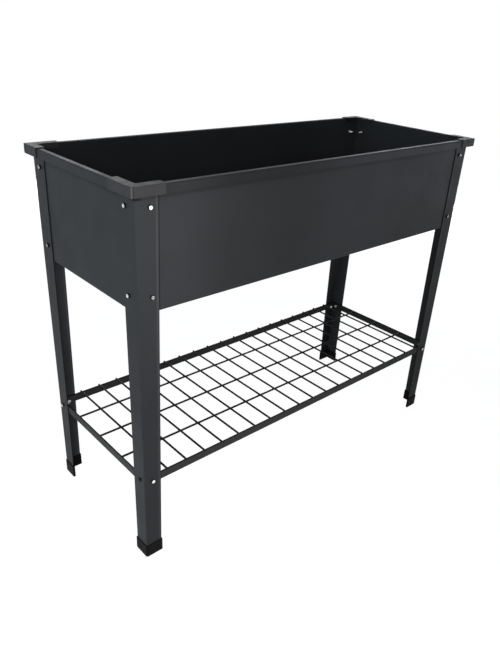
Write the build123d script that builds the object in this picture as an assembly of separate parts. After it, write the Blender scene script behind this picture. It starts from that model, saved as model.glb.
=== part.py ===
from build123d import *
import math
import os

# Raised planter on four folded legs, with a wire shelf between the legs.
# Millimetres. +Z up, +X along the long side, -Y towards the front.
# The origin is on the ground, midway between the four feet.

# Overall sizes
leg_span_x = 976.0          # over the outer faces of the legs, along the long side
leg_span_y = 367.0          # over the outer faces of the legs, along the short side
overall_height = 800.0      # ground to the top of the corner caps

# Legs: one folded angle each, whose flanges narrow towards the foot
leg_sheet = 1.8
leg_bend = 1.5              # inside radius of the fold
leg_flange_top = 45.8
leg_flange_foot = 36.3
leg_top_gap = 0.5           # from the top of the leg to the curve of the rim above it

# Side panels: seat flange below, flat wall, rim folded outwards and down
panel_sheet = 1.2
panel_bend = 1.5
panel_depth = 227.0         # rim top to the bottom edge
rim_overhang = 10.1         # face of the rim's lip beyond the outer face of the leg
lip_height = 17.2
seat_flange = 12.0
panel_end_gap = 0.3         # between a long panel and the short panel that meets it

# Base sheet: rests on the four seat flanges, stiffened by pressed beads
base_sheet = 1.0
base_gap = 0.3              # to the fold of the side panels, all round
bead_width = 16.0
bead_height = 4.0
bead_slope = 45.0           # of the bead's sides, degrees
bead_end_gap = 30.0         # from the end of a bead to the edge of the sheet
bead_count = 6
drain_diameter = 8.0

# Corner caps: moulded, straddling the rim
cap_wall = 1.6
cap_gap = 0.3               # skirt to the lip of the rim
cap_skirt_lift = 0.5        # bottom of the skirt above the bottom of the lip
cap_inner_reach = 7.7       # inner edge of the cap inboard of the leg's outer face
cap_inner_skirt = 12.0      # depth of the inner skirt below the cap's top
cap_corner_radius = 2.5
cap_edge_chamfer = 0.6
cap_arm_front_left = (53.5, 62.0)   # ends of the arms, from the leg's outer faces
cap_arm_front_right = (43.0, 50.0)
cap_arm_back_left = (54.0, 42.0)
cap_arm_back_right = (49.0, 58.0)

# Feet: moulded sleeves pushed over the ends of the legs
foot_height = 30.0
foot_wall = 1.6
foot_floor = 3.0
foot_gap = 0.25

# Shelf: four flat rails bolted inside the legs, with a grid of straight wires
shelf_rail_bottom = 192.5
rail_height = 19.0
rail_sheet = 2.5
rail_end_gap = 3.0          # long rail to the inside of the leg
rail_corner_gap = 0.3       # short rail to the long rail
wire_diameter = 4.0
wire_seat = 0.3             # depth of the flat where a wire is welded on a rail
cross_wire_count = 19
cross_wire_pitch = 48.2
long_wire_count = 3
long_wire_pitch = 91.0

# Fasteners: hexagon head bolts and nuts
bolt_diameter = 5.0
panel_bolt_length = 16.0
shelf_bolt_length = 12.0
bolt_head_across = 8.0
bolt_head_height = 3.5
nut_height = 4.0
nut_bore_gap = 0.1
bolt_hole_gap = 0.3         # radial
round_sides = 8             # shanks and their holes are drawn with this many flats
panel_bolt_edge = 28.5      # from the outer face of the leg round the corner
panel_bolt_drop = 37.8      # upper bolt below the rim top
panel_bolt_rise = 30.7      # lower bolt above the panel's bottom edge
shelf_bolt_edge_long = 19.0
shelf_bolt_edge_short = 16.5
shelf_bolt_rise_long = 6.5  # above the bottom of a long rail
shelf_bolt_rise_short = 9.5
bolt_turn = 23.0            # each bolt stops at its own angle, this much past the one before

overshoot = 1.0             # how far a cutting shape runs past the face that it cuts

# Derived places
leg_x = leg_span_x / 2
leg_y = leg_span_y / 2
panel_x = leg_x - leg_sheet
panel_y = leg_y - leg_sheet
inner_x = panel_x - panel_sheet
inner_y = panel_y - panel_sheet
rim_top = overall_height - cap_wall
panel_bottom = rim_top - panel_depth
rim_reach = leg_sheet + rim_overhang
lip_bottom = rim_top - lip_height
leg_top = rim_top - panel_sheet - panel_bend - leg_top_gap
shelf_rail_top = shelf_rail_bottom + rail_height
hole_radius = bolt_diameter / 2 + bolt_hole_gap
panel_bolt_heights = (rim_top - panel_bolt_drop, panel_bottom + panel_bolt_rise)
long_rail_bolt = shelf_rail_bottom + shelf_bolt_rise_long
short_rail_bolt = shelf_rail_bottom + shelf_bolt_rise_short


def spread(count, pitch):
    """Evenly spaced places about zero."""
    return [(i - (count - 1) / 2) * pitch for i in range(count)]


def folded(points, sheet, bend):
    """Section of a bent sheet, from the corners of its middle line."""
    return trace(FilletPolyline(*points, radius=bend + sheet / 2), sheet)


def mirrored(shape, side_x, side_y):
    """A front-left piece moved to the corner named by the signs of x and y."""
    if side_x > 0 and side_y > 0:
        return Rot(0, 0, 180) * shape
    if side_x > 0:
        return mirror(shape, about=Plane.YZ)
    if side_y > 0:
        return mirror(shape, about=Plane.XZ)
    return shape


def bar(x0, x1, y0, y1, z0, z1):
    """Plain block between two corners."""
    size = (abs(x1 - x0), abs(y1 - y0), abs(z1 - z0))
    return Pos((x0 + x1) / 2, (y0 + y1) / 2, (z0 + z1) / 2) * Box(*size)


def rod_y(x, y0, y1, z, radius):
    """Round bar parallel to Y."""
    return Pos(x, (y0 + y1) / 2, z) * Rot(90, 0, 0) * Cylinder(radius, abs(y1 - y0))


def rod_x(x0, x1, y, z, radius):
    """Round bar parallel to X."""
    return Pos((x0 + x1) / 2, y, z) * Rot(0, 90, 0) * Cylinder(radius, abs(x1 - x0))


def bore():
    """Cutter for a bolt hole, along Z, as long as the longer bolt to either side of the origin."""
    return extrude(RegularPolygon(hole_radius, round_sides, major_radius=False), panel_bolt_length, both=True)


def bore_y(x, y, z):
    """Cutter for a bolt hole along Y."""
    return Pos(x, y, z) * Rot(90, 0, 0) * bore()


def bore_x(x, y, z):
    """Cutter for a bolt hole along X."""
    return Pos(x, y, z) * Rot(0, 90, 0) * bore()


def upright_nearest(solid, offset):
    """The upright edge nearest to the point (offset, offset) in plan."""
    return solid.edges().filter_by(Axis.Z).sort_by(
        lambda edge: math.hypot(edge.center().X - offset, edge.center().Y - offset))[0]


# Legs

def flange_width(z):
    """Width of a leg's flange at a height above the ground."""
    return leg_flange_foot + (leg_flange_top - leg_flange_foot) * z / leg_top


def leg():
    """Front-left leg: folded angle, both flanges tapered, with its bolt holes."""
    half = leg_sheet / 2
    corners = [(leg_flange_top, half), (half, half), (half, leg_flange_top)]
    section = folded(corners, leg_sheet, leg_bend)
    angle = Pos(-leg_x, -leg_y, foot_floor) * extrude(section, leg_top - foot_floor)
    waste = Polyline(
        (leg_flange_foot, 0), (leg_flange_top, leg_top), (2 * leg_flange_top, leg_top),
        (2 * leg_flange_top, 0), (leg_flange_foot, 0),
    )
    front_waste = extrude(Plane.XZ * make_face(waste), leg_sheet, both=True)
    side_waste = extrude(Plane.YZ * make_face(waste), leg_sheet, both=True)
    corner = Pos(-leg_x, -leg_y, 0)
    angle -= corner * front_waste
    angle -= corner * side_waste
    for z in panel_bolt_heights:
        angle -= bore_y(-leg_x + panel_bolt_edge, -leg_y, z)
        angle -= bore_x(-leg_x, -leg_y + panel_bolt_edge, z)
    angle -= bore_y(-leg_x + shelf_bolt_edge_long, -leg_y, long_rail_bolt)
    angle -= bore_x(-leg_x, -leg_y + shelf_bolt_edge_short, short_rail_bolt)
    return angle


def foot_cap():
    """Front-left foot: angle-shaped sleeve closed below, over the end of the leg."""
    arm = flange_width(foot_height) + foot_gap
    skin = foot_gap + foot_wall
    depth = leg_sheet + foot_gap
    outline = Polyline(
        (-skin, -skin), (arm + foot_wall, -skin), (arm + foot_wall, depth + foot_wall),
        (depth + foot_wall, depth + foot_wall), (depth + foot_wall, arm + foot_wall),
        (-skin, arm + foot_wall), (-skin, -skin),
    )
    socket = Polyline(
        (-foot_gap, -foot_gap), (arm, -foot_gap), (arm, depth),
        (depth, depth), (depth, arm), (-foot_gap, arm), (-foot_gap, -foot_gap),
    )
    fold_radius = leg_sheet + leg_bend + foot_gap
    sleeve = extrude(make_face(outline), foot_height)
    sleeve = fillet(upright_nearest(sleeve, -skin), fold_radius + foot_wall)
    ends = [edge for edge in sleeve.edges().filter_by(Axis.Z)
            if max(edge.center().X, edge.center().Y) > arm]
    sleeve = fillet(ends, foot_wall / 2)
    pocket = Pos(0, 0, foot_floor) * extrude(make_face(socket), foot_height)
    pocket = fillet(upright_nearest(pocket, -foot_gap), fold_radius)
    pocket = fillet(upright_nearest(pocket, depth), leg_bend - foot_gap)
    return Pos(-leg_x, -leg_y, 0) * (sleeve - pocket)


# Planter box

def side_panel(length, across, seat_cut):
    """Front panel of a given length: seat flange, wall, outward rim and lip, with bolt holes."""
    half = panel_sheet / 2
    corners = [
        (seat_flange, panel_bottom + half), (half, panel_bottom + half), (half, rim_top - half),
        (half - rim_reach, rim_top - half), (half - rim_reach, lip_bottom),
    ]
    section = Plane.YZ * folded(corners, panel_sheet, panel_bend)
    panel = extrude(section, length / 2, both=True)
    for side in (-1, 1):
        if seat_cut:
            end = length / 2
            panel -= bar(side * (end - seat_cut), side * (end + overshoot), -overshoot, seat_flange + overshoot,
                         panel_bottom - overshoot, panel_bottom + panel_sheet + panel_bend)
        for z in panel_bolt_heights:
            panel -= bore_y(side * (across - panel_bolt_edge), 0, z)
    return panel


def long_panel():
    """Front panel, standing at the front of the box."""
    length = 2 * (panel_x - leg_bend - panel_end_gap)
    return Pos(0, -panel_y, 0) * side_panel(length, leg_x, 0)


def short_panel():
    """Left panel, standing between the two long panels."""
    length = 2 * (inner_y - panel_end_gap)
    seat_cut = seat_flange + panel_end_gap - panel_sheet
    return Pos(-panel_x, 0, 0) * Rot(0, 0, -90) * side_panel(length, leg_y, seat_cut)


def bead(width, length, height):
    """Ridge along Y with sloping sides and narrowed ends."""
    outline = Rectangle(width, length)
    return extrude(chamfer(outline.vertices(), width / 3), height, taper=bead_slope)


def base():
    """Flat base sheet with pressed beads and a drain hole between each two."""
    reach_x = inner_x - panel_bend - base_gap
    reach_y = inner_y - panel_bend - base_gap
    sheet = bar(-reach_x, reach_x, -reach_y, reach_y, 0, base_sheet)
    length = 2 * (reach_y - bead_end_gap)
    pitch = 2 * reach_x / bead_count
    inset = 2 * base_sheet
    for x in spread(bead_count, pitch):
        sheet += Pos(x, 0, 0) * bead(bead_width, length, bead_height + base_sheet)
        sheet -= Pos(x, 0, 0) * bead(bead_width - inset, length - inset, bead_height)
    for x in spread(bead_count - 1, pitch):
        sheet -= Pos(x, 0, 0) * Cylinder(drain_diameter / 2, 3 * base_sheet)
    return Pos(0, 0, panel_bottom + panel_sheet) * sheet


def cap_plan(arm_x, arm_y, outer, inner):
    """Angle in plan at the front-left corner, between two offsets from the leg's outer faces."""
    x0 = -leg_x - outer
    y0 = -leg_y - outer
    x1 = -leg_x + inner
    y1 = -leg_y + inner
    end_x = -leg_x + arm_x
    end_y = -leg_y + arm_y
    return make_face(Polyline((x0, y0), (end_x, y0), (end_x, y1), (x1, y1), (x1, end_y), (x0, end_y), (x0, y0)))


def corner_cap(arm_x, arm_y):
    """Front-left corner cap: top plate over the rim, with an outer and an inner skirt."""
    outer = rim_overhang + cap_gap + cap_wall
    bottom = lip_bottom + cap_skirt_lift
    shell = extrude(cap_plan(arm_x, arm_y, outer, cap_inner_reach), overall_height - bottom)
    shell = Pos(0, 0, bottom) * shell
    corner = shell.edges().filter_by(Axis.Z).sort_by(lambda edge: edge.center().X + edge.center().Y)[0]
    shell = fillet(corner, cap_corner_radius)
    top = shell.faces().sort_by(Axis.Z)[-1]
    shell = chamfer(top.edges(), cap_edge_chamfer)
    below = bottom - overshoot
    far_x = arm_x + outer
    far_y = arm_y + outer
    hollow = cap_plan(far_x, far_y, outer - cap_wall, cap_inner_reach - cap_wall)
    shell -= Pos(0, 0, below) * extrude(hollow, rim_top - below)
    inside = cap_plan(far_x, far_y, 0, cap_inner_reach + overshoot)
    return shell - Pos(0, 0, below) * extrude(inside, overall_height - cap_inner_skirt - below)


# Shelf

def long_rail():
    """Front shelf rail, flat against the inside of the front legs."""
    reach = panel_x - rail_end_gap
    rail = bar(-reach, reach, -panel_y, -panel_y + rail_sheet, shelf_rail_bottom, shelf_rail_top)
    for side in (-1, 1):
        rail -= bore_y(side * (leg_x - shelf_bolt_edge_long), -panel_y, long_rail_bolt)
    return rail


def short_rail():
    """Left shelf rail, between the two long rails."""
    reach = panel_y - rail_sheet - rail_corner_gap
    rail = bar(-panel_x, -panel_x + rail_sheet, -reach, reach, shelf_rail_bottom, shelf_rail_top)
    for side in (-1, 1):
        rail -= bore_x(-panel_x, side * (leg_y - shelf_bolt_edge_short), short_rail_bolt)
    return rail


def cross_wires():
    """Wires from front to back, each with a flat at both ends where it is welded on a rail."""
    radius = wire_diameter / 2
    z = shelf_rail_top + radius - wire_seat
    wires = []
    for x in spread(cross_wire_count, cross_wire_pitch):
        wire = rod_y(x, -panel_y, panel_y, z, radius)
        for side in (-1, 1):
            wire -= bar(x - radius, x + radius, side * (panel_y + overshoot), side * (panel_y - rail_sheet),
                        z - 2 * radius, shelf_rail_top)
        wires.append(wire)
    return wires


def long_wires():
    """Wires under the cross wires, ending on the inner faces of the short rails."""
    radius = wire_diameter / 2
    z = shelf_rail_top - wire_seat - radius
    reach = panel_x - rail_sheet
    return [rod_x(-reach, reach, y, z, radius) for y in spread(long_wire_count, long_wire_pitch)]


# Fasteners, modelled along +Z from the face that the head bears on

def bolt(length):
    """Hexagon head above the bearing face, shank of the given length below it."""
    head = extrude(RegularPolygon(bolt_head_across / 2, 6, major_radius=False), bolt_head_height)
    return head + extrude(RegularPolygon(bolt_diameter / 2, round_sides), -length)


def nut():
    """Hexagon nut below its bearing face."""
    body = RegularPolygon(bolt_head_across / 2, 6, major_radius=False)
    thread = RegularPolygon(bolt_diameter / 2 + nut_bore_gap, round_sides, major_radius=False)
    return extrude(body - thread, -nut_height)


def seats(long_edge, short_edge, heights):
    """Bearing places on the outer faces of the legs, each with its outward direction along +Z.
    Each pair of heights is that on the long sides and that on the short sides."""
    places = []
    for long_height, short_height in heights:
        for side_x in (-1, 1):
            for side_y in (-1, 1):
                tilt = 90 if side_y < 0 else -90
                places.append(Pos(side_x * (leg_x - long_edge), side_y * leg_y, long_height) * Rot(tilt, 0, 0))
                turn = 90 * side_x
                places.append(Pos(side_x * leg_x, side_y * (leg_y - short_edge), short_height) * Rot(0, turn, 0))
    return places


def fasteners(places, grip, length):
    """Bolts of the given length at the places, and nuts behind a grip of the given thickness."""
    bolts = [place * Rot(0, 0, i * bolt_turn) * bolt(length) for i, place in enumerate(places)]
    nuts = [place * Pos(0, 0, -grip) * Rot(0, 0, -i * bolt_turn) * nut() for i, place in enumerate(places)]
    return bolts, nuts


# Assembly

corners = {
    "front_left": (-1, -1, cap_arm_front_left),
    "front_right": (1, -1, cap_arm_front_right),
    "back_left": (-1, 1, cap_arm_back_left),
    "back_right": (1, 1, cap_arm_back_right),
}
nodes = {}
for name, (side_x, side_y, arms) in corners.items():
    nodes[f"leg_{name}"] = mirrored(leg(), side_x, side_y)
    nodes[f"foot_cap_{name}"] = mirrored(foot_cap(), side_x, side_y)
    nodes[f"corner_cap_{name}"] = mirrored(corner_cap(*arms), side_x, side_y)
nodes["front_panel"] = long_panel()
nodes["back_panel"] = mirrored(long_panel(), -1, 1)
nodes["left_panel"] = short_panel()
nodes["right_panel"] = mirrored(short_panel(), 1, -1)
nodes["base_sheet"] = base()
nodes["shelf_front_rail"] = long_rail()
nodes["shelf_back_rail"] = mirrored(long_rail(), -1, 1)
nodes["shelf_left_rail"] = short_rail()
nodes["shelf_right_rail"] = mirrored(short_rail(), 1, -1)
nodes["shelf_cross_wires"] = Compound(cross_wires())
nodes["shelf_long_wires"] = Compound(long_wires())
panel_seats = seats(panel_bolt_edge, panel_bolt_edge, [(z, z) for z in panel_bolt_heights])
shelf_seats = seats(shelf_bolt_edge_long, shelf_bolt_edge_short, [(long_rail_bolt, short_rail_bolt)])
panel_bolts, panel_nuts = fasteners(panel_seats, leg_sheet + panel_sheet, panel_bolt_length)
shelf_bolts, shelf_nuts = fasteners(shelf_seats, leg_sheet + rail_sheet, shelf_bolt_length)
nodes["panel_bolts"] = Compound(panel_bolts)
nodes["panel_nuts"] = Compound(panel_nuts)
nodes["shelf_bolts"] = Compound(shelf_bolts)
nodes["shelf_nuts"] = Compound(shelf_nuts)

os.makedirs("parts", exist_ok=True)
for name, shape in nodes.items():
    export_step(shape, f"parts/{name}.step")
    print(name, round(shape.volume))
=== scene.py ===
"""Raised planter on four folded steel legs, with a wire shelf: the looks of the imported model.

Metres. +Z up, +X along the long side, -Y towards the front. The origin is on the ground,
midway between the feet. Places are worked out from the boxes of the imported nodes.
"""
import math

import bpy
import numpy as np
from mathutils import Matrix, Vector


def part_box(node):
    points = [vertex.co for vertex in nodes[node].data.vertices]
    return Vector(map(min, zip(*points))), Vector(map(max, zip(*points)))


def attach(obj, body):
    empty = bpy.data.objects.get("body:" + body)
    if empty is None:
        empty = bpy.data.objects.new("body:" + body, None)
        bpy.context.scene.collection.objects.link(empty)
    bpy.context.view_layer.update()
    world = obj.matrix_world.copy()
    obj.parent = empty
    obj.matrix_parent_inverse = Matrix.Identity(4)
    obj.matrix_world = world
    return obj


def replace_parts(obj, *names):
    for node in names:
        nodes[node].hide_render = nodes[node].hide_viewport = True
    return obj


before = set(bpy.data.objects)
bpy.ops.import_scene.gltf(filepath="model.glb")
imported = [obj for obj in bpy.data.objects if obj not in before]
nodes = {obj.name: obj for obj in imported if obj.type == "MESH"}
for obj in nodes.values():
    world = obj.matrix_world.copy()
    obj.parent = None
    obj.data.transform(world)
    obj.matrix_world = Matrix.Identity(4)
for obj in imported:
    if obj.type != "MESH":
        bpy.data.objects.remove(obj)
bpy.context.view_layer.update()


# ---- Legs ----
# Four angles folded from sheet steel, narrower towards the foot. Sprayed with dark grey
# powder and baked, which leaves a satin skin with a very fine orange peel.

corner_names = ("front_left", "front_right", "back_left", "back_right")
anthracite = (0.0256, 0.0280, 0.0314)
coat_roughness = 0.45
roughness_swing = 0.05      # either way, with the uneven gloss
coat_specular = 0.045
coat_clouds = 5.0           # grains per metre, as in the next four
coat_specks = 900.0
coat_gloss = 16.0
sheet_waves = 7.0
orange_peel = 420.0
wave_depth = 0.002
peel_depth = 0.0002


def add_node(tree, kind, inputs, **settings):
    """A shader node of the given kind, with its settings and its unlinked inputs filled in."""
    node = tree.nodes.new(kind)
    for key, value in settings.items():
        setattr(node, key, value)
    for key, value in inputs.items():
        node.inputs[key].default_value = value
    return node


def noise(tree, coordinates, scale, detail=2.0, stretch=(1.0, 1.0, 1.0)):
    """Noise of the given grains per metre, stretched along the axes, from 0 to 1 about 0.5."""
    mapping = add_node(tree, "ShaderNodeMapping", {"Scale": stretch})
    tree.links.new(coordinates, mapping.inputs["Vector"])
    grain = add_node(tree, "ShaderNodeTexNoise", {"Scale": scale, "Detail": detail})
    tree.links.new(mapping.outputs["Vector"], grain.inputs["Vector"])
    return grain.outputs["Fac"]


def spread_over(tree, fraction, low, high):
    """The middle of a noise, where nearly all of it lies, stretched to run from low to high."""
    node = add_node(tree, "ShaderNodeMapRange",
                    {"From Min": 0.3, "From Max": 0.7, "To Min": low, "To Max": high})
    tree.links.new(fraction, node.inputs["Value"])
    return node.outputs["Result"]


def shaded(tree, fraction, colour, dark, light):
    """A colour that runs from dark times itself to light times itself with the fraction."""
    node = add_node(tree, "ShaderNodeMix", {}, data_type="RGBA")
    node.inputs[6].default_value = (*(dark * c for c in colour), 1.0)
    node.inputs[7].default_value = (*(light * c for c in colour), 1.0)
    tree.links.new(fraction, node.inputs["Factor"])
    return node.outputs[2]


def relief(tree, height, depth, strength, below=None):
    """Bump of the given depth in metres, over another bump if one is given."""
    node = add_node(tree, "ShaderNodeBump", {"Distance": depth, "Strength": strength})
    tree.links.new(height, node.inputs["Height"])
    if below is not None:
        tree.links.new(below, node.inputs["Normal"])
    return node.outputs["Normal"]


def new_material(name, **constants):
    """A material with one shader whose unvarying sockets are set, and its object coordinates."""
    material = bpy.data.materials.new(name)
    material.use_nodes = True
    tree = material.node_tree
    shader = tree.nodes["Principled BSDF"]
    for key, value in constants.items():
        shader.inputs[key.replace("_", " ")].default_value = value
    coordinates = add_node(tree, "ShaderNodeTexCoord", {}).outputs["Object"]
    return material, tree, shader, coordinates


def calc(tree, operation, *values):
    """The result of one operation on numbers and sockets."""
    node = add_node(tree, "ShaderNodeMath", {}, operation=operation)
    for socket, value in zip(node.inputs, values):
        if isinstance(value, float):
            socket.default_value = value
        else:
            tree.links.new(value, socket)
    return node.outputs[0]


def chain(tree, operation, first, *others):
    """The values joined one after the other by an operation, into their product or their sum."""
    result = first
    for other in others:
        result = calc(tree, operation, result, other)
    return result


def rest(tree, share):
    """What a share leaves of the whole, which is 1."""
    return calc(tree, "SUBTRACT", 1.0, share)


def blend(tree, share, low, high):
    """From low to high as the share goes from 0 to 1."""
    return calc(tree, "MULTIPLY_ADD", share, calc(tree, "SUBTRACT", high, low), low)


def step(tree, value, stretch, levels):
    """Smooth step from the first level to the second while the value crosses the stretch."""
    start, end = stretch
    low, high = levels
    node = add_node(tree, "ShaderNodeMapRange",
                    {"From Min": start, "From Max": end, "To Min": low, "To Max": high},
                    interpolation_type="SMOOTHSTEP")
    tree.links.new(value, node.inputs["Value"])
    return node.outputs["Result"]


def powder_coat(name, colour=anthracite, specular=coat_specular, tone=None):
    """Satin powder coat: clouds and specks of tone, uneven gloss, waves of the sheet and orange
    peel. The tone is worked out from the place, and multiplies the colour."""
    material, tree, shader, place = new_material(
        name, Metallic=0.0, IOR=1.5, Specular_IOR_Level=specular)
    clouds = spread_over(tree, noise(tree, place, coat_clouds), 0.0, 1.0)
    cloudy = shaded(tree, clouds, colour, dark=0.93, light=1.08)
    specks = spread_over(tree, noise(tree, place, coat_specks, detail=1.0), 0.94, 1.06)
    if tone is not None:
        specks = calc(tree, "MULTIPLY", specks, tone(tree, place))
    speckled = add_node(
        tree, "ShaderNodeMix", {"Factor": 1.0}, data_type="RGBA", blend_type="MULTIPLY")
    tree.links.new(cloudy, speckled.inputs[6])
    tree.links.new(specks, speckled.inputs[7])
    tree.links.new(speckled.outputs[2], shader.inputs["Base Color"])
    gloss = spread_over(tree, noise(tree, place, coat_gloss, detail=3.0),
                        coat_roughness - roughness_swing, coat_roughness + roughness_swing)
    tree.links.new(gloss, shader.inputs["Roughness"])
    waves = relief(tree, noise(tree, place, sheet_waves, detail=1.0), wave_depth, strength=0.16)
    peel = noise(tree, place, orange_peel, detail=1.5)
    peel = relief(tree, peel, peel_depth, strength=0.30, below=waves)
    tree.links.new(peel, shader.inputs["Normal"])
    return material


def finish_node(name, material):
    """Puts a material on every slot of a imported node."""
    mesh = nodes[name].data
    if not mesh.materials:
        mesh.materials.append(material)
    for index in range(len(mesh.materials)):
        mesh.materials[index] = material


def axes(tree, place):
    """The three coordinates of a place."""
    split = add_node(tree, "ShaderNodeSeparateXYZ", {})
    tree.links.new(place, split.inputs[0])
    return split.outputs["X"], split.outputs["Y"], split.outputs["Z"]


def by_half(tree, coordinate, levels=(0.0, 1.0)):
    """The first level in the low half of the planter, which is the left or the front one, and
    the second in the high half."""
    return step(tree, coordinate, (-0.02, 0.02), levels)


def inward(tree, place, low):
    """Distances of a place inward along x and along y, from the outer faces that meet at low
    or from those across the planter, whichever are nearer."""
    x, y, _ = axes(tree, place)
    inward_x = calc(tree, "SUBTRACT", -low.x, calc(tree, "ABSOLUTE", x))
    inward_y = calc(tree, "SUBTRACT", -low.y, calc(tree, "ABSOLUTE", y))
    return inward_x, inward_y


leg_low, leg_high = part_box("leg_front_left")
flange_at_foot = 0.0363
flange_at_top = leg_high.x - leg_low.x


def leg_distances(tree, place):
    """Of the distances inward from the outer faces of the nearest leg, the smaller is the depth
    below the surface, and the larger that along it from the corner. Also how far the place lies
    beyond the free edge of the flange, which widens with the height, and 1 on the long sides of
    the planter, 0 on the short ones."""
    inward_x, inward_y = inward(tree, place, leg_low)
    depth = calc(tree, "MINIMUM", inward_x, inward_y)
    along = calc(tree, "MAXIMUM", inward_x, inward_y)
    height = axes(tree, place)[2]
    slope = (flange_at_top - flange_at_foot) / leg_high.z
    width = calc(tree, "MULTIPLY_ADD", height, slope, flange_at_foot)
    beyond = calc(tree, "SUBTRACT", along, width)
    long_side = calc(tree, "LESS_THAN", inward_y, inward_x)
    return depth, along, beyond, long_side


# The stretches over which the tone of a leg changes
through_sheet = (0.0008, 0.0016)        # depth, which is 1.8 mm at the inner face
sheared_edge = (-0.0006, -0.0002)       # beyond the free edge, as in the next two
edge_highlight_start = (-0.0068, -0.0046)
edge_highlight_end = (-0.0018, -0.0008)
out_of_corner = (0.008, 0.016)          # along the flange
cap_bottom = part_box("corner_cap_front_left")[0].z
nearing_cap = (cap_bottom - 0.0086, cap_bottom - 0.0079)


def leg_tone(tree, place):
    """Painted shade inside the angle, though lighter on the long side of the back right leg, and
    painted shade on the sheared edge; a painted highlight beside it on the long sides; a painted
    shadow in the corner under the cap; and painted light and shade that change from side to side
    and towards the feet."""
    depth, along, beyond, long_side = leg_distances(tree, place)
    x, y, height = axes(tree, place)
    right = by_half(tree, x)
    back = by_half(tree, y)

    # Painted shade inside the angle of the leg, lighter on the long side of the back right leg.
    front_inside = by_half(tree, x, (0.72, 0.50))
    back_inside = calc(tree, "MULTIPLY_ADD", right, blend(tree, long_side, 0.03, 0.73),
                       step(tree, height, (0.22, 0.50), (0.82, 1.02)))
    inside = blend(tree, back, front_inside, back_inside)
    coat = blend(tree, step(tree, depth, through_sheet, (0.0, 1.0)), 1.0, inside)

    # Painted light and shade that change with the height, from leg to leg and side to side.
    front_short = step(tree, height, (0.15, 0.42), (1.20, 1.0))
    back_short = step(tree, height, (0.45, 0.65), (0.87, 1.0))
    right_long = step(tree, height, (0.10, 0.45), (0.25, 0.84))
    painted_shading = blend(tree, long_side, blend(tree, back, front_short, back_short),
                 blend(tree, right, 1.0, right_long))

    # Painted shade on the sheared edge.
    edge = step(tree, beyond, sheared_edge, (1.0, 0.45))
    # Painted highlight beside the sheared edge, on the long sides.
    painted_edge_highlight = chain(tree, "MULTIPLY", step(tree, beyond, edge_highlight_start, (0.0, 0.52)),
                     step(tree, beyond, edge_highlight_end, (1.0, 0.0)), long_side)
    # Painted shadow in the corner under the cap.
    painted_cap_shadow = calc(tree, "MULTIPLY", step(tree, height, nearing_cap, (0.0, 0.70)),
                 step(tree, along, out_of_corner, (1.0, 0.25)))
    return chain(tree, "MULTIPLY", coat, painted_shading, edge, calc(tree, "ADD", 1.0, painted_edge_highlight),
                 rest(tree, painted_cap_shadow))


leg_coat = powder_coat("leg_coat", tone=leg_tone)
for corner in corner_names:
    finish_node(f"leg_{corner}", leg_coat)


# ---- Planter box ----
# Four panels folded from thinner sheet steel: a wall, a rim turned out and down, and a
# flange turned in below, which carries the base sheet. Sprayed like the legs, and bolted to them.

panel_low, panel_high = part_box("left_panel")
rim_top = panel_high.z
# The stretches over which the tone of a panel changes
into_wall = (0.0008, 0.0014)            # depth, which is 1.8 mm at the outer face of the wall
out_of_wall = (0.0020, 0.0026)
through_wall = (0.0025, 0.0029)
off_lip = (-0.0100, -0.0097)            # depth, which is -10.1 mm at the face of the lip
off_leg = (0.0012, 0.0036)              # beyond the free edge of the leg
nearing_rim = (rim_top - 0.0324, rim_top - 0.0224)
onto_rim = (rim_top - 0.0014, rim_top - 0.0006)


def panel_tone(tree, place):
    """A painted shadow on the wall beside the free edges of the legs, and painted shade under the
    rim; inside the box, painted shade that is darker towards the left end and lightest at the
    right end of the back; outside, painted shade over one stretch of the long sides, and painted
    light and shade along the top and the lip of their rims."""
    depth, _, beyond, long_side = leg_distances(tree, place)
    x, y, height = axes(tree, place)
    back = by_half(tree, y)

    on_wall = calc(tree, "MULTIPLY", step(tree, depth, into_wall, (0.0, 1.0)),
                   step(tree, depth, out_of_wall, (1.0, 0.0)))
    # Painted shadow on the wall beside the free edges of the legs.
    line = chain(tree, "MULTIPLY", on_wall, step(tree, beyond, off_leg, (0.80, 0.0)),
                 calc(tree, "MAXIMUM", long_side, back))
    # Painted shade under the rim.
    under_rim = calc(tree, "MULTIPLY", on_wall, step(tree, height, nearing_rim, (0.0, 0.22)))

    # Outside: painted shade over one stretch of the long sides, and painted light and shade along the
    # top and the lip of the rims.
    faint = chain(tree, "MULTIPLY", step(tree, x, (-0.40, -0.28), (0.0, 0.25)),
                  step(tree, x, (-0.16, 0.08), (1.0, 0.0)), long_side)
    rim_shading = calc(tree, "ADD", step(tree, x, (-0.40, -0.30), (0.22, 0.0)),
                    step(tree, x, (0.20, 0.36), (0.0, -0.17)))
    on_rim = chain(tree, "MULTIPLY", step(tree, height, onto_rim, (0.0, 1.0)), long_side, rim_shading)
    lip_shading = step(tree, x, (-0.30, 0.35), (-0.24, 0.34))
    on_lip = chain(tree, "MULTIPLY", step(tree, depth, off_lip, (1.0, 0.0)), long_side, lip_shading)
    outside = chain(tree, "ADD", rest(tree, faint), on_rim, on_lip)

    # Inside the box: painted shade, darker towards the left end and lightest at the right end of the
    # back.
    back_end = chain(tree, "MULTIPLY", step(tree, x, (0.22, 0.44), (0.0, 0.45)), long_side, back)
    inside = calc(tree, "ADD", step(tree, x, (-0.35, 0.40), (0.74, 1.12)), back_end)
    coat = blend(tree, step(tree, depth, through_wall, (0.0, 1.0)), outside, inside)
    return chain(tree, "MULTIPLY", coat, rest(tree, line), rest(tree, under_rim))


panel_coat = powder_coat("panel_coat", tone=panel_tone)
for side in ("front", "back", "left", "right"):
    finish_node(f"{side}_panel", panel_coat)


# ---- Base sheet ----
# Flat sheet steel laid on the flanges of the panels, with pressed beads and drain holes.
# Sprayed by itself, in the same coat.

base_coat = powder_coat("base_coat")
finish_node("base_sheet", base_coat)


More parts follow.
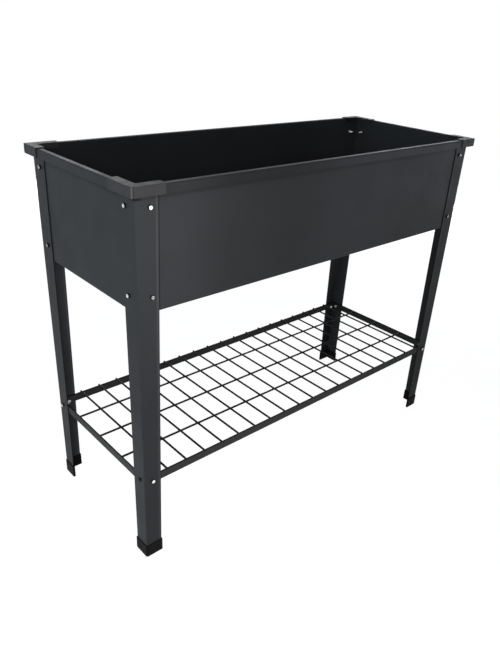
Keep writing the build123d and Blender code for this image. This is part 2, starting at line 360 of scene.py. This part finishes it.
# ---- Shelf ----
# Four flat steel bars bolted inside the legs, with round wires welded on crosswise, and
# lengthwise below those, before the coat was sprayed.

rail_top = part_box("shelf_front_rail")[1].z
onto_rail_top = (rail_top - 0.0021, rail_top - 0.0014)
behind_front_rail = (-0.178, -0.165)


def rail_tone(tree, place):
    """The top edge, where the wires are welded on, is painted black as shade. The rails are a
    little darker towards the right and the back, and lighter behind the front rail."""
    x, y, height = axes(tree, place)
    # Painted shade: the top edge is painted black.
    scale = step(tree, height, onto_rail_top, (1.0, 0.10))
    to_right = step(tree, x, (0.0, 0.42), (1.0, 0.58))
    behind_front = step(tree, y, behind_front_rail, (1.0, 1.2))
    to_back = step(tree, y, (-0.12, 0.14), (1.10, 0.70))
    return chain(tree, "MULTIPLY", scale, to_right, behind_front, to_back)


rail_grey = (0.0296, 0.0305, 0.0318)
shelf_coat = powder_coat("shelf_coat", rail_grey, tone=rail_tone)
for side in ("front", "back", "left", "right"):
    finish_node(f"shelf_{side}_rail", shelf_coat)

wire_black = tuple(0.55 * c for c in anthracite)
wire_coat = powder_coat("wire_coat", wire_black, specular=0.015)
cross_count = 19
long_count = 3
bare_radius = 0.0020
wire_radius = 0.00235       # over the coat
wire_points = 16
cut_in = np.array([0.0, 0.00015, 0.0005])       # rounding of the cut ends, along the wire
cut_down = np.array([0.0005, 0.00015, 0.0])     # and across it
wire_crease = math.radians(40)                  # edges sharper than this stay sharp
spot_radius = 0.0030        # weld spots where the wires cross
spot_half_height = 0.0019
spot_points = 12


def ring_faces(count, points, looped):
    """Quads between neighbouring rings, each corner the next point along one way or the other;
    the last ring meets the first where looped."""
    ring = np.arange(count if looped else count - 1)[:, None]
    point = np.arange(points)[None, :]
    after = (ring + 1) % count * points
    beside = (point + 1) % points
    ring = ring * points
    return np.stack([ring + point, after + point, after + beside, ring + beside], -1).reshape(-1, 4)


def ring_piece(name, copies, points):
    """A mesh of copies of one row of rings, given as copy, ring, point, place. The first and
    the last ring of each copy are closed with a flat face."""
    rows = copies.shape[1]
    starts = np.arange(len(copies))[:, None, None] * rows * points
    quads = (ring_faces(rows, points, False)[None] + starts).reshape(-1, 4)
    first = starts[:, 0] + np.arange(points)
    last = first + (rows - 1) * points
    faces = quads.tolist() + first.tolist() + last[:, ::-1].tolist()
    mesh = bpy.data.meshes.new(name)
    mesh.from_pydata(copies.reshape(-1, 3).tolist(), [], faces)
    mesh.materials.append(wire_coat)
    mesh.shade_smooth()
    mesh.set_sharp_from_angle(angle=wire_crease)
    piece = bpy.data.objects.new(name, mesh)
    bpy.context.scene.collection.objects.link(piece)
    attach(piece, "root")
    return piece


def wire_lines(node, along, count):
    """Lowest and highest end of a row of parallel wires along an axis, 0 for x and 1 for y, the
    places of their centres across it, evenly spaced, and their height."""
    low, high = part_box(node)
    across = 1 - along
    centres = np.linspace(low[across] + bare_radius, high[across] - bare_radius, count)
    return low[along], high[along], centres, high.z - bare_radius


def wire_row(name, node, along, count):
    """Each ring lies at a station along the wire, and is its centre plus the radius along the
    cosine and the sine of the angle; the radius shrinks over the rounded cuts at the ends."""
    low, high, centres, height = wire_lines(node, along, count)
    stations = np.concatenate([low + cut_in, (high - cut_in)[::-1]])[None, :, None]
    radii = wire_radius - np.concatenate([cut_down, cut_down[::-1]])[None, :, None]
    angle = np.linspace(0, 2 * math.pi, wire_points, endpoint=False)
    outward = 2 * along - 1     # keeps the faces outward along either axis
    copies = np.empty((count, stations.size, wire_points, 3))
    copies[..., along] = stations
    copies[..., 1 - along] = centres[:, None, None] + outward * radii * np.cos(angle)
    copies[..., 2] = height + radii * np.sin(angle)
    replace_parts(ring_piece(name, copies, wire_points), node)


wire_row("cross_wires", "shelf_cross_wires", 1, cross_count)
wire_row("long_wires", "shelf_long_wires", 0, long_count)

# A weld spot is a flattened ball, half way up between the two wires that cross: rings at the
# cosine of the latitude, as high as its sine.
cross_x, cross_height = wire_lines("shelf_cross_wires", 1, cross_count)[2:]
long_y, long_height = wire_lines("shelf_long_wires", 0, long_count)[2:]
spot_x, spot_y = (grid.reshape(-1, 1, 1) for grid in np.meshgrid(cross_x, long_y))
spot_z = (cross_height + long_height) / 2
latitude = np.radians(np.array([75.0, 45.0, 15.0, -15.0, -45.0, -75.0]))[None, :, None]
spot_angle = np.linspace(0, 2 * math.pi, spot_points, endpoint=False)
spots = np.stack(np.broadcast_arrays(
    spot_x + spot_radius * np.cos(latitude) * np.cos(spot_angle),
    spot_y + spot_radius * np.cos(latitude) * np.sin(spot_angle),
    spot_z + spot_half_height * np.sin(latitude),
), -1)
ring_piece("weld_spots", spots, spot_points)


# ---- Corner caps and feet ----
# Moulded in black plastic with a fine spark-eroded grain; the caps straddle the rim, and
# the feet are sleeves pushed over the ends of the legs.

plastic_clouds = 30.0       # grains per metre, as in the next two
plastic_gloss = 60.0
plastic_grain = 1100.0
plastic_grain_depth = 0.0002
flow_swing = 0.06           # of the roughness either way, with the flow marks
foot_black = (0.0087, 0.0080, 0.0086)
cap_black = (0.034, 0.0355, 0.0385)


def moulded_plastic(name, colour, roughness, specular, tone):
    """Moulded plastic: slight clouds of tone, a fine grain and faint flow marks in the gloss.
    The tone is worked out from the place, and is added to the clouds, where 1 is their width."""
    material, tree, shader, place = new_material(
        name, Metallic=0.0, IOR=1.5, Specular_IOR_Level=specular)
    clouds = spread_over(tree, noise(tree, place, plastic_clouds), 0.0, 1.0)
    clouds = calc(tree, "ADD", clouds, tone(tree, place))
    cloudy = shaded(tree, clouds, colour, dark=0.85, light=1.12)
    cloudy.node.clamp_factor = False    # lets the tone go past the clouds
    tree.links.new(cloudy, shader.inputs["Base Color"])
    gloss = spread_over(tree, noise(tree, place, plastic_gloss, detail=3.0),
                        roughness - flow_swing, roughness + flow_swing)
    tree.links.new(gloss, shader.inputs["Roughness"])
    grain = relief(tree, noise(tree, place, plastic_grain), plastic_grain_depth, strength=0.35)
    tree.links.new(grain, shader.inputs["Normal"])
    return material


cap_low, cap_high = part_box("corner_cap_front_left")
# The stretches over which the tone of a cap changes, and the darkest that it gets
off_corner = (0.0016, 0.0024)           # along the skirt, as in the next two
gap_shade_start = (0.0022, 0.0028)
gap_shade_end = (0.0038, 0.0048)
off_skirt = (0.0003, 0.0008)            # depth, as in the next
onto_inner_skirt = (0.0194, 0.01955)
onto_arm_end = np.array([-0.0009, -0.0004])     # from the reach of the arm
nearing_top = (cap_high.z - 0.0015, cap_high.z - 0.0008)
onto_top = (cap_high.z - 0.0008, cap_high.z - 0.0004)
darkest = -2.6


def cap_tone(tree, place, reach):
    """Painted highlight along the upright corner and on the top, painted shade beside the corner,
    darkest on the ends of the two arms, which reach so far, and on the skirt inside the box."""
    inward_x, inward_y = inward(tree, place, cap_low)
    along = calc(tree, "MAXIMUM", inward_x, inward_y)
    depth = calc(tree, "MINIMUM", inward_x, inward_y)
    height = axes(tree, place)[2]

    # Painted highlight along the upright corner.
    corner = step(tree, along, off_corner, (3.4, 0.0))
    # Painted shade beside the corner.
    corner_gap_shade = chain(tree, "MULTIPLY", step(tree, along, gap_shade_start, (0.0, -2.2)),
                 step(tree, along, gap_shade_end, (1.0, 0.0)), step(tree, depth, off_skirt, (1.0, 0.0)))
    # Painted shade on the ends of the arms, the darkest of all.
    ends = calc(tree, "ADD", step(tree, inward_x, reach.x + onto_arm_end, (0.0, darkest)),
                step(tree, inward_y, reach.y + onto_arm_end, (0.0, darkest)))
    ends = calc(tree, "MULTIPLY", ends, step(tree, height, nearing_top, (1.0, 0.0)))
    # Painted shade on the skirt inside the box.
    inner = step(tree, depth, onto_inner_skirt, (0.0, -1.1))
    # Painted highlight on the top.
    top = step(tree, height, onto_top, (0.0, 0.5))
    return calc(tree, "MAXIMUM", chain(tree, "ADD", corner, corner_gap_shade, ends, inner, top), darkest)


through_sleeve = (0.0030, 0.0034)       # depth, inward from the outer face of the leg


def foot_tone(tree, place):
    """Painted shade on the walls inside the angle, and on the right."""
    depth = leg_distances(tree, place)[0]
    x = axes(tree, place)[0]
    # Painted shade inside the angle and on the right.
    inside = step(tree, depth, through_sleeve, (0.0, -2.2))
    return calc(tree, "MINIMUM", inside, by_half(tree, x, (0.0, -1.3)))


foot_plastic = moulded_plastic(
    "foot_plastic", foot_black, roughness=0.50, specular=0.02, tone=foot_tone)
for corner in corner_names:
    finish_node(f"foot_cap_{corner}", foot_plastic)
    low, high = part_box(f"corner_cap_{corner}")
    reach = high - low
    cap_plastic = moulded_plastic(
        f"cap_plastic_{corner}", cap_black, roughness=0.46, specular=0.045,
        tone=lambda tree, place: cap_tone(tree, place, reach))
    finish_node(f"corner_cap_{corner}", cap_plastic)


# ---- Fasteners ----
# Hexagon bolts and nuts, cold headed and zinc plated. The head is dished on top and
# chamfered, and stands on a washer face; the thread runs out past the nut.

zinc_clouds = 220.0         # grains per metre, as in the next two
zinc_gloss = 500.0
zinc_scratches = 1600.0
scratch_stretch = (1.0, 0.2, 0.2)
scratch_depth = 0.0001
zinc_grey = (0.83, 0.825, 0.81)
# Black that stands in for shade on the sides of the heads, in the bores and on the shelf bolt ends:
# painted shade.
shade_black = (0.012, 0.012, 0.012)


def zinc_plate(name, metallic, colour):
    """Zinc plating: bright grey metal with cloudy gloss and fine scratches. An attribute of
    the faces paints light and shade: how brightly each copy is lit, from 0, dark, to 1, bright."""
    material, tree, shader, place = new_material(
        name, Metallic=metallic, Specular_IOR_Level=0.02)
    clouds = spread_over(tree, noise(tree, place, zinc_clouds, detail=3.0), -0.15, 0.15)
    # Painted light and shade: each copy is made brighter or darker as it is lit.
    lit_level = add_node(tree, "ShaderNodeAttribute", {}, attribute_name="lit_level").outputs["Fac"]
    clouds = calc(tree, "ADD", clouds, lit_level)
    cloudy = shaded(tree, clouds, colour, dark=0.08, light=1.0)
    tree.links.new(cloudy, shader.inputs["Base Color"])
    gloss = spread_over(tree, noise(tree, place, zinc_gloss, detail=3.0), 0.18, 0.36)
    tree.links.new(gloss, shader.inputs["Roughness"])
    scratches = noise(tree, place, zinc_scratches, stretch=scratch_stretch)
    scratches = relief(tree, scratches, scratch_depth, strength=0.25)
    tree.links.new(scratches, shader.inputs["Normal"])
    return material


zinc = zinc_plate("zinc_plate", 0.75, zinc_grey)
shade_zinc = zinc_plate("shade_zinc", 0.0, shade_black)
bolt_finish = (zinc, shade_zinc, leg_coat)
bright, in_shade, coated = range(3)
across_flats = 0.008
bolt_radius = 0.0025
thread_pitch = 0.0008
thread_depth = 0.0004
thread_start = -0.0068      # the shank is plain down to here
thread_rows = 6             # rings to each turn of the thread
nut_clearance = 0.0001
nut_bore = bolt_radius + nut_clearance
ring_points = 36
ring_angle = np.linspace(0, 2 * math.pi, ring_points, endpoint=False)
bolt_crease = math.radians(28)


def hexagon(limit):
    """Half the width across flats over the cosine of the angle past the middle of the nearest
    side, and nowhere more than the limit, which is the cone of the chamfer at that height."""
    side = math.pi / 3
    past = (ring_angle + side / 2) % side - side / 2
    return np.minimum(across_flats / 2 / np.cos(past)[None, :], np.asarray(limit)[:, None])


def rings(heights, radii):
    """Points of one ring for each height about Z: the radius along the cosine and the sine of
    the angle. radii holds a row of radii for each ring."""
    rows = np.repeat(np.asarray(heights)[:, None], ring_points, 1)
    return np.stack([radii * np.cos(ring_angle), radii * np.sin(ring_angle), rows], -1).reshape(-1, 3)


def bolt_shape(length, end_finish):
    """Head by its rings of chamfered hexagon over a round dish; the shank's radius falls and
    rises with the cosine of the height over the pitch less the angle, which is a helix. The
    first and the last ring are closed with a flat face. The chamfer and the sides of the head
    are painted dark as shade."""
    head_heights = (
        0.0031, 0.00322, 0.0035, 0.0035, 0.00344, 0.00328, 0.00308, 0.00285, 0.0004, 0.00025, 0.0)
    head_limits = (
        0.0018, 0.0021, 0.0025, 0.0034, 0.00365, 0.0039, 0.0043, 0.00465, 0.00465, 0.0038, 0.0038)
    top_bands = 4           # of faces, on the dish and the flat round it
    head_bands = 10         # and on the whole head
    row_drop = thread_pitch / thread_rows
    thread = np.arange(thread_start, -length + thread_depth, -row_drop)
    turn = 2 * math.pi * thread[:, None] / thread_pitch - ring_angle[None, :]
    thread_radii = bolt_radius - thread_depth * (0.5 + 0.5 * np.cos(turn))
    plain_radii = np.full((2, ring_points), bolt_radius)
    end_depths = thread_depth * np.array([1.0, 2.0])    # the last two rings taper off
    end_radii = bolt_radius - np.repeat(end_depths[:, None], ring_points, 1)
    heights = np.concatenate([
        head_heights, (0.0, thread_start + row_drop), thread, (-length + thread_depth / 2, -length)])
    radii = np.concatenate([hexagon(head_limits), plain_radii, thread_radii, end_radii])
    first = np.arange(ring_points)
    last = first + (len(heights) - 1) * ring_points
    quads = ring_faces(len(heights), ring_points, False)
    top = top_bands * ring_points
    side = head_bands * ring_points
    groups = (
        (quads[:top], bright), (quads[top:side], in_shade), (quads[side:], bright),
        (first[None], bright), (last[None, ::-1], end_finish),
    )
    return rings(heights, radii), groups


def nut_shape():
    """Rings of chamfered hexagon outside and of the round bore inside, looped into one. The
    bore is painted dark as shade."""
    mouth = nut_bore + thread_depth
    heights = (0.0, -0.0002, -0.0006, -0.0034, -0.0038, -0.0040, -0.0040, -0.0037, -0.0003, 0.0)
    limits = (0.0037, 0.0039, 0.00465, 0.00465, 0.0039, 0.0037, mouth, nut_bore, nut_bore, mouth)
    outer_bands = 6
    quads = ring_faces(len(heights), ring_points, True)
    bore = outer_bands * ring_points
    return rings(heights, hexagon(limits)), ((quads[:bore], bright), (quads[bore:], in_shade))


def bolt_places(long_edge, short_edge, heights):
    """Bearing point and outward direction of each bolt, on the outer faces of the legs, at a
    distance from the face round the corner. Each pair of heights is that on the long sides and
    that on the short sides."""
    places = []
    for long_height, short_height in heights:
        for side_x in (-1, 1):
            for side_y in (-1, 1):
                long_place = (-side_x * (leg_low.x + long_edge), -side_y * leg_low.y, long_height)
                short_place = (-side_x * leg_low.x, -side_y * (leg_low.y + short_edge), short_height)
                places += [(long_place, (0, side_y, 0)), (short_place, (side_x, 0, 0))]
    return places


def set_in_place(name, shape, places, inset, turn, lit_levels, sprayed):
    """One mesh of a shape at every place, its axis along the outward direction, moved inward by
    the inset and turned about the axis by its own angle. Each copy has its own level of painted
    light and shade, and the bright faces of the sprayed one, if there is one, are coated."""
    points, face_groups = shape
    copies = []
    for i, (bearing, outward) in enumerate(places):
        swing = Vector(outward).to_track_quat("Z", "Y").to_matrix().to_4x4()
        spin = Matrix.Rotation(i * turn, 4, "Z")
        sunk = Matrix.Translation((0, 0, -inset))
        matrix = np.array(Matrix.Translation(bearing) @ swing @ sunk @ spin)
        copies.append(points @ matrix[:3, :3].T + matrix[:3, 3])
    starts = np.arange(len(places))[:, None, None] * len(points)
    faces, finishes, lit_level_rows = [], [], []
    for group, finish in face_groups:
        finish_rows = np.full((len(places), len(group)), finish)
        if sprayed is not None and finish == bright:
            finish_rows[sprayed] = coated
        faces += (group[None] + starts).reshape(-1, group.shape[1]).tolist()
        finishes.append(finish_rows.ravel())
        lit_level_rows.append(np.repeat(lit_levels, len(group)))
    mesh = bpy.data.meshes.new(name)
    mesh.from_pydata(np.concatenate(copies).tolist(), [], faces)
    for material in bolt_finish:
        mesh.materials.append(material)
    mesh.polygons.foreach_set("material_index", np.concatenate(finishes))
    lit_level = mesh.attributes.new("lit_level", "FLOAT", "FACE")
    lit_level.data.foreach_set("value", np.concatenate(lit_level_rows))
    mesh.shade_smooth()
    mesh.set_sharp_from_angle(angle=bolt_crease)
    piece = bpy.data.objects.new(name, mesh)
    bpy.context.scene.collection.objects.link(piece)
    return piece


bolt_turn = math.radians(23)            # from each bolt to the next
upper_drop = 0.0378                     # of the upper panel bolts from the rim
lower_rise = 0.0307                     # of the lower ones from the bottom of the panels
shelf_rise_long = 0.0065                # of the shelf bolts from the bottom of the rails
shelf_rise_short = 0.0095
rail_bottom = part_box("shelf_left_rail")[0].z
panel_heights = [(height, height) for height in (rim_top - upper_drop, panel_low.z + lower_rise)]
shelf_heights = [(rail_bottom + shelf_rise_long, rail_bottom + shelf_rise_short)]
# How brightly each bolt is lit, painted into its colour, in the order of the places.
upper_lit_levels = (0.50, 0.50, 0.6, 0.28, 0.05, 0.5, 0.7, 0.4)
lower_lit_levels = (0.20, 0.70, 0.5, 0.12, 0.12, 0.6, 0.5, 0.3)
panel_lit_levels = upper_lit_levels + lower_lit_levels
shelf_lit_levels = (1.0, 1.0, 0.9, 0.9, 0.65, 0.8, 0.7, 0.6)
for kind, long_edge, short_edge, heights, grip, length, end_finish, lit_levels, sprayed in (
    ("panel", 0.0285, 0.0285, panel_heights, 0.0030, 0.016, bright, panel_lit_levels, None),
    ("shelf", 0.0190, 0.0165, shelf_heights, 0.0043, 0.012, in_shade, shelf_lit_levels, 1),
):
    places = bolt_places(long_edge, short_edge, heights)
    for part, shape, inset, turn, sprayed_copy in (
        ("bolts", bolt_shape(length, end_finish), 0.0, bolt_turn, sprayed),
        ("nuts", nut_shape(), grip, -bolt_turn, None),
    ):
        piece = set_in_place(f"zinc_{kind}_{part}", shape, places, inset, turn, lit_levels, sprayed_copy)
        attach(piece, "root")
        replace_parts(piece, f"{kind}_{part}")


# ---- Studio ----
# A pale floor without an edge in sight and a white surround, with soft boxes of several
# sizes, most of them low, so that the upright faces catch their light.

floor_bounce = 0.80         # share of the light that the floor throws back on the object
floor_near = 0.93           # what is seen of it without any light, by the object
floor_far = 0.995           # and far off
floor_shade = 0.20          # and the share that lies in the object's shadow or out of it
floor_whitens = (0.8, 2.8)  # the stretch from near to far
floor_radius = 9.0
floor_points = 64

# The floor is a disc: its edge is the radius along the cosine and the sine of the angle.
around = np.linspace(0, 2 * math.pi, floor_points, endpoint=False)
floor_edge = floor_radius * np.stack([np.cos(around), np.sin(around), np.zeros_like(around)], -1)
floor_mesh = bpy.data.meshes.new("studio_floor")
floor_mesh.from_pydata(floor_edge.tolist(), [], [list(range(floor_points))])
floor = bpy.data.objects.new("studio_floor", floor_mesh)
bpy.context.scene.collection.objects.link(floor)


def is_seen(tree):
    """1 for a ray from the camera, off a glossy face or through glass, 0 for any other."""
    path = add_node(tree, "ShaderNodeLightPath", {})
    total = path.outputs["Is Camera Ray"]
    for name in ("Is Glossy Ray", "Is Transmission Ray"):
        adder = add_node(tree, "ShaderNodeMath", {}, operation="ADD", use_clamp=True)
        tree.links.new(total, adder.inputs[0])
        tree.links.new(path.outputs[name], adder.inputs[1])
        total = adder.outputs[0]
    return total


floor_pale = bpy.data.materials.new("floor_pale")
floor_pale.use_nodes = True
floor_tree = floor_pale.node_tree
floor_tree.nodes.clear()
floor_seen = is_seen(floor_tree)
floor_tone = add_node(
    floor_tree, "ShaderNodeMapRange", {"To Min": floor_bounce, "To Max": floor_shade})
floor_tree.links.new(floor_seen, floor_tone.inputs["Value"])
floor_diffuse = add_node(floor_tree, "ShaderNodeBsdfDiffuse", {})
floor_tree.links.new(floor_tone.outputs["Result"], floor_diffuse.inputs["Color"])
floor_place = add_node(floor_tree, "ShaderNodeTexCoord", {}).outputs["Object"]
floor_distance = add_node(floor_tree, "ShaderNodeVectorMath", {}, operation="LENGTH")
floor_tree.links.new(floor_place, floor_distance.inputs[0])
floor_white = step(
    floor_tree, floor_distance.outputs["Value"], floor_whitens, (floor_near, floor_far))
floor_glow = add_node(floor_tree, "ShaderNodeEmission", {})
glow_strength = calc(floor_tree, "MULTIPLY", floor_seen, floor_white)
floor_tree.links.new(glow_strength, floor_glow.inputs["Strength"])
floor_sum = add_node(floor_tree, "ShaderNodeAddShader", {})
floor_tree.links.new(floor_diffuse.outputs[0], floor_sum.inputs[0])
floor_tree.links.new(floor_glow.outputs[0], floor_sum.inputs[1])
floor_output = add_node(floor_tree, "ShaderNodeOutputMaterial", {})
floor_tree.links.new(floor_sum.outputs[0], floor_output.inputs["Surface"])
floor_mesh.materials.append(floor_pale)

world_light = 0.02          # the surround lights the object hardly at all, and is seen white
world = bpy.data.worlds.new("studio_surround")
world.use_nodes = True
world_tree = world.node_tree
surround = world_tree.nodes["Background"]
surround.inputs["Color"].default_value = (1.0, 1.0, 1.0, 1.0)
surround_strength = add_node(
    world_tree, "ShaderNodeMapRange", {"To Min": world_light, "To Max": 1.0})
world_tree.links.new(is_seen(world_tree), surround_strength.inputs["Value"])
world_tree.links.new(surround_strength.outputs["Result"], surround.inputs["Strength"])
bpy.context.scene.world = world
bpy.context.scene.view_settings.view_transform = "Standard"


def softbox(name, place, aim, width, height, power, colour):
    """Rectangular lamp at a place, facing a point."""
    lamp = bpy.data.lights.new(name, "AREA")
    lamp.shape = "RECTANGLE"
    lamp.size = width
    lamp.size_y = height
    lamp.energy = power
    lamp.color = colour
    holder = bpy.data.objects.new(name, lamp)
    holder.location = place
    holder.rotation_euler = (Vector(aim) - Vector(place)).to_track_quat("-Z", "Y").to_euler()
    holder.visible_camera = False
    bpy.context.scene.collection.objects.link(holder)


softbox("box_left", (-3.2, 0.4, 1.2), (0, 0, 0.5), 2.0, 2.0, 38.0, (0.76, 0.92, 1.0))
softbox("box_low_left", (-1.7, -1.7, 0.4), (-0.45, -0.1, 0.4), 1.0, 0.6, 14.0, (1.0, 0.96, 0.90))
softbox("box_near", (-1.0, -0.9, 1.15), (-0.4, 0, 0.6), 0.4, 0.4, 8.5, (1.0, 0.94, 0.93))
softbox("box_front", (0.05, -0.95, 0.45), (-0.45, -0.18, 0.7), 0.3, 0.3, 2.0, (1.0, 1.0, 1.0))
softbox("box_corner", (-0.47, -0.62, 0.70), (-0.47, -0.18, 0.70), 0.25, 0.25, 1.1, (1.0, 0.93, 0.86))
softbox("box_low_right", (1.9, -1.05, 0.45), (0.4, -0.18, 0.7), 0.6, 0.4, 3.0, (0.84, 0.90, 1.0))
softbox("box_back", (2.2, 2.4, 2.2), (0, 0, 0.8), 3.4, 1.8, 5.0, (0.68, 0.84, 1.0))
softbox("box_back_left", (0.87, 2.79, 1.52), (-0.4, 0, 0.8), 0.8, 0.8, 6.4, (0.95, 0.95, 1.0))
softbox("box_back_right", (2.77, 1.55, 1.35), (0.2, -0.1, 0.8), 0.8, 0.8, 7.0, (0.93, 0.94, 1.0))
softbox("box_low_far_right", (2.8, 0.55, 0.15), (0.5, 0.55, 0.55), 1.2, 0.2, 42.0, (0.92, 0.96, 1.0))
softbox("box_low_behind", (0.4, 3.0, 0.15), (0.4, 0.2, 0.55), 1.5, 0.2, 52.0, (0.94, 0.96, 1.0))


# ---- Camera ----
# Stands off the front left corner, a little above the rim, and looks down. It is turned
# from +Y towards +X, dips below the level, and rolls about its own axis.

camera_place = Vector((-0.99175, -1.01200, 1.04222))
camera_turn = math.radians(43.599)
camera_dip = math.radians(27.421)
camera_roll = math.radians(3.608)
sensor = 36.0
focal_length = 33.055
shift_right = -0.01121
shift_up = 0.00176

ahead = Vector((
    math.sin(camera_turn) * math.cos(camera_dip),
    math.cos(camera_turn) * math.cos(camera_dip),
    -math.sin(camera_dip),
))
level_right = ahead.cross(Vector((0, 0, 1))).normalized()
level_up = level_right.cross(ahead)
right = math.cos(camera_roll) * level_right + math.sin(camera_roll) * level_up
up = math.cos(camera_roll) * level_up - math.sin(camera_roll) * level_right
aimed = Matrix((right, up, -ahead)).transposed().to_4x4()
lens = bpy.data.cameras.new("camera")
lens.sensor_fit = "VERTICAL"
lens.sensor_height = sensor
lens.lens = focal_length
lens.shift_x = shift_right
lens.shift_y = shift_up
lens.clip_start = 0.01
camera = bpy.data.objects.new("camera", lens)
camera.matrix_world = Matrix.Translation(camera_place) @ aimed
bpy.context.scene.collection.objects.link(camera)
bpy.context.scene.camera = camera
